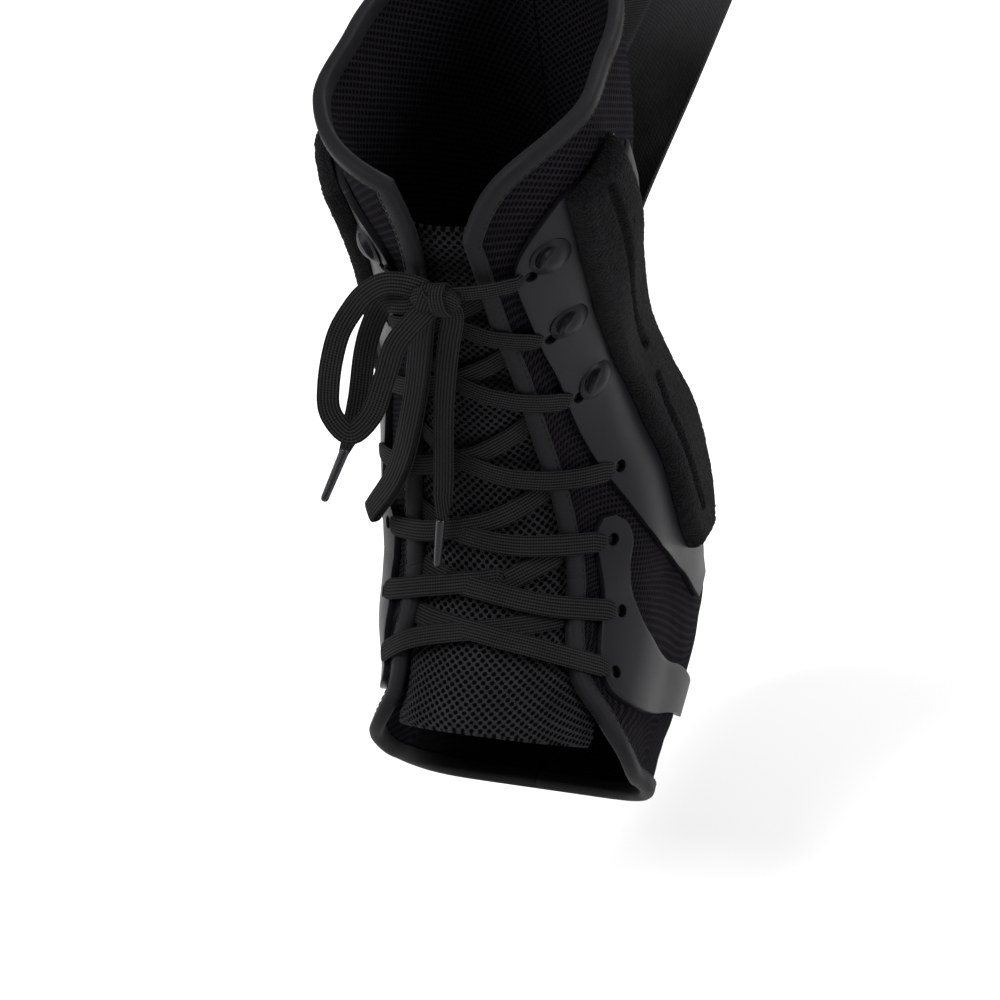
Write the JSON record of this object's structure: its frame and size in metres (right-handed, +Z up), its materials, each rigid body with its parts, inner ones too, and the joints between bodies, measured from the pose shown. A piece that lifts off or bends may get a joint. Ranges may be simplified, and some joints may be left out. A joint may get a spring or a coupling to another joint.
{
  "type": "ankle brace",
  "caption": "Lace-up mesh ankle brace with an open heel-to-shin boot, padded tongue, moulded side plates, pile-covered side stays, crossed laces tied in a bow and webbing straps behind.",
  "frame": {"origin": "the middle of the wearer's ankle joint, inside the hollow, which is where the worn brace is held up", "axes": "+X to the outer side of the left foot, -Y forward over the toes, +Z up from the sole to the leg opening"},
  "size_m": [0.1087, 0.1699, 0.2678],
  "materials": {
    "mesh_fabric": "black knitted mesh, matte",
    "binding_tape": "black woven binding tape with a soft sheen",
    "moulded_plastic": "black moulded plastic, satin",
    "pile_fabric": "black looped pile, very matte",
    "webbing": "black ribbed webbing",
    "lace": "black flat woven lace",
    "aglet_plastic": "black plastic tip"
  },
  "bodies": {
    "root": {"boot_shell": "mesh_fabric", "tongue": "mesh_fabric", "binding_outer": "binding_tape", "binding_inner": "binding_tape", "upper_plate_outer": "moulded_plastic", "upper_plate_inner": "moulded_plastic", "lower_plate_outer": "moulded_plastic", "lower_plate_inner": "moulded_plastic", "hook_outer_1": "moulded_plastic", "hook_outer_2": "moulded_plastic", "hook_outer_3": "moulded_plastic", "hook_inner_1": "moulded_plastic", "hook_inner_2": "moulded_plastic", "hook_inner_3": "moulded_plastic", "stay_cover_outer": "pile_fabric", "stay_cover_inner": "pile_fabric", "cover_tape_outer": "binding_tape", "cover_tape_inner": "binding_tape", "strap_outer": "webbing", "strap_inner": "webbing", "lace_top_outer": "lace", "lace_top_inner": "lace", "lace_crossing_1": "lace", "lace_crossing_2": "lace", "lace_crossing_3": "lace", "lace_crossing_4": "lace", "lace_crossing_5": "lace", "lace_crossing_6": "lace", "lace_knot": "lace", "lace_loop": "lace", "lace_loop_folded": "lace", "lace_end_side": "lace", "lace_end_front": "lace", "aglet_side": "aglet_plastic", "aglet_front": "aglet_plastic"}
  },
  "joints": []
}
